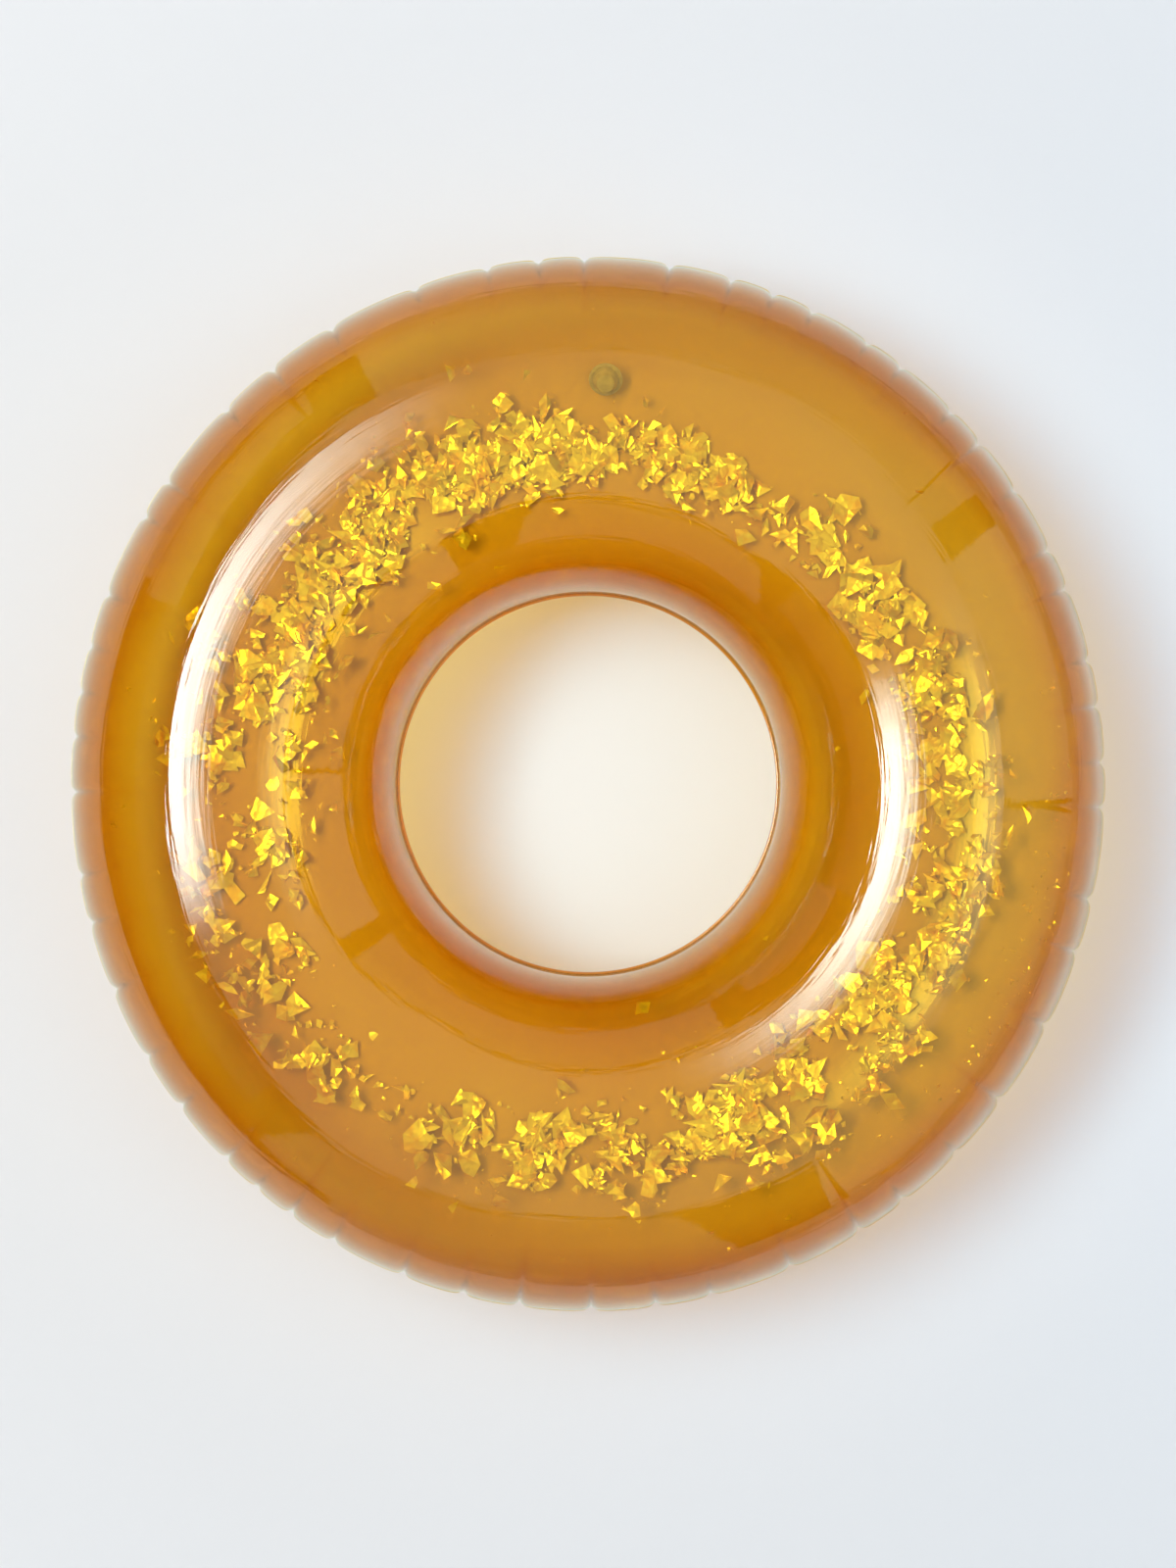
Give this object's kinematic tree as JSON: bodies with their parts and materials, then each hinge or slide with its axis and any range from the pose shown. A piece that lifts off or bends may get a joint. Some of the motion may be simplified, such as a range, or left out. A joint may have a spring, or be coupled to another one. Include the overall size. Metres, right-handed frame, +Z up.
{
  "type": "inflatable pool ring",
  "caption": "Inflatable swim ring: a clear amber vinyl tube around an open centre, loose gold foil sealed inside, and a push-in valve with a captive plug underneath.",
  "frame": {"origin": "centre of the ring on the floor it lies on, at the bottom of the bounding box", "axes": "+Z up through the hole; +Y towards the back of the ring, where the valve is; +X to the right as seen from above with the valve at the top"},
  "size_m": [1.1, 1.1, 0.3418],
  "materials": {
    "amber_vinyl": "clear amber soft vinyl film, glossy",
    "milky_vinyl": "milky translucent soft vinyl moulding, satin",
    "gold_foil": "bright crinkled gold foil"
  },
  "bodies": {
    "ring": {"upper_skin": "amber_vinyl", "lower_skin": "amber_vinyl", "valve_flange": "amber_vinyl", "valve_collar": "milky_vinyl", "gold_flake_01": "gold_foil", "gold_flake_02": "gold_foil", "gold_flake_03": "gold_foil", "gold_flake_04": "gold_foil", "gold_flake_05": "gold_foil", "gold_flake_06": "gold_foil", "gold_flake_07": "gold_foil", "gold_flake_08": "gold_foil", "gold_flake_09": "gold_foil", "gold_flake_10": "gold_foil", "gold_flake_11": "gold_foil", "gold_flake_12": "gold_foil", "gold_flake_13": "gold_foil", "gold_flake_14": "gold_foil", "gold_flake_15": "gold_foil", "gold_flake_16": "gold_foil", "gold_flake_17": "gold_foil", "gold_flake_18": "gold_foil", "gold_flake_19": "gold_foil", "gold_flake_20": "gold_foil", "gold_flake_21": "gold_foil", "gold_flake_22": "gold_foil", "gold_flake_23": "gold_foil", "gold_flake_24": "gold_foil", "gold_flake_25": "gold_foil", "gold_flake_26": "gold_foil", "gold_flake_27": "gold_foil", "gold_flake_28": "gold_foil", "gold_flake_29": "gold_foil", "gold_flake_30": "gold_foil", "gold_flake_31": "gold_foil", "gold_flake_32": "gold_foil", "gold_flake_33": "gold_foil", "gold_flake_34": "gold_foil", "gold_flake_35": "gold_foil", "gold_flake_36": "gold_foil", "gold_flake_37": "gold_foil", "gold_flake_38": "gold_foil", "gold_flake_39": "gold_foil", "gold_flake_40": "gold_foil", "gold_flake_41": "gold_foil", "gold_flake_42": "gold_foil", "gold_flake_43": "gold_foil", "gold_flake_44": "gold_foil"},
    "valve": {"valve_stem": "milky_vinyl"},
    "plug": {"valve_strap": "milky_vinyl", "valve_plug": "milky_vinyl"},
    "flap": {"check_flap": "milky_vinyl"}
  },
  "joints": [
    {"name": "valve_recess", "type": "slide", "parent": "ring", "child": "valve", "axis": [0.0203, 0.4643, -0.8855], "range_m": [0, 0.016], "deforming": ["valve_collar"]},
    {"name": "plug_strap", "type": "hinge", "parent": "valve", "child": "plug", "pos_m": [0.03036, 0.45223, 0.02106], "axis": [-0.0386, -0.8846, -0.4647], "range_deg": [0, 120]},
    {"name": "flap_hinge", "type": "hinge", "parent": "valve", "child": "flap", "pos_m": [0.01425, 0.44549, 0.03523], "axis": [-0.0386, -0.8846, -0.4647], "range_deg": [0, 60]}
  ]
}
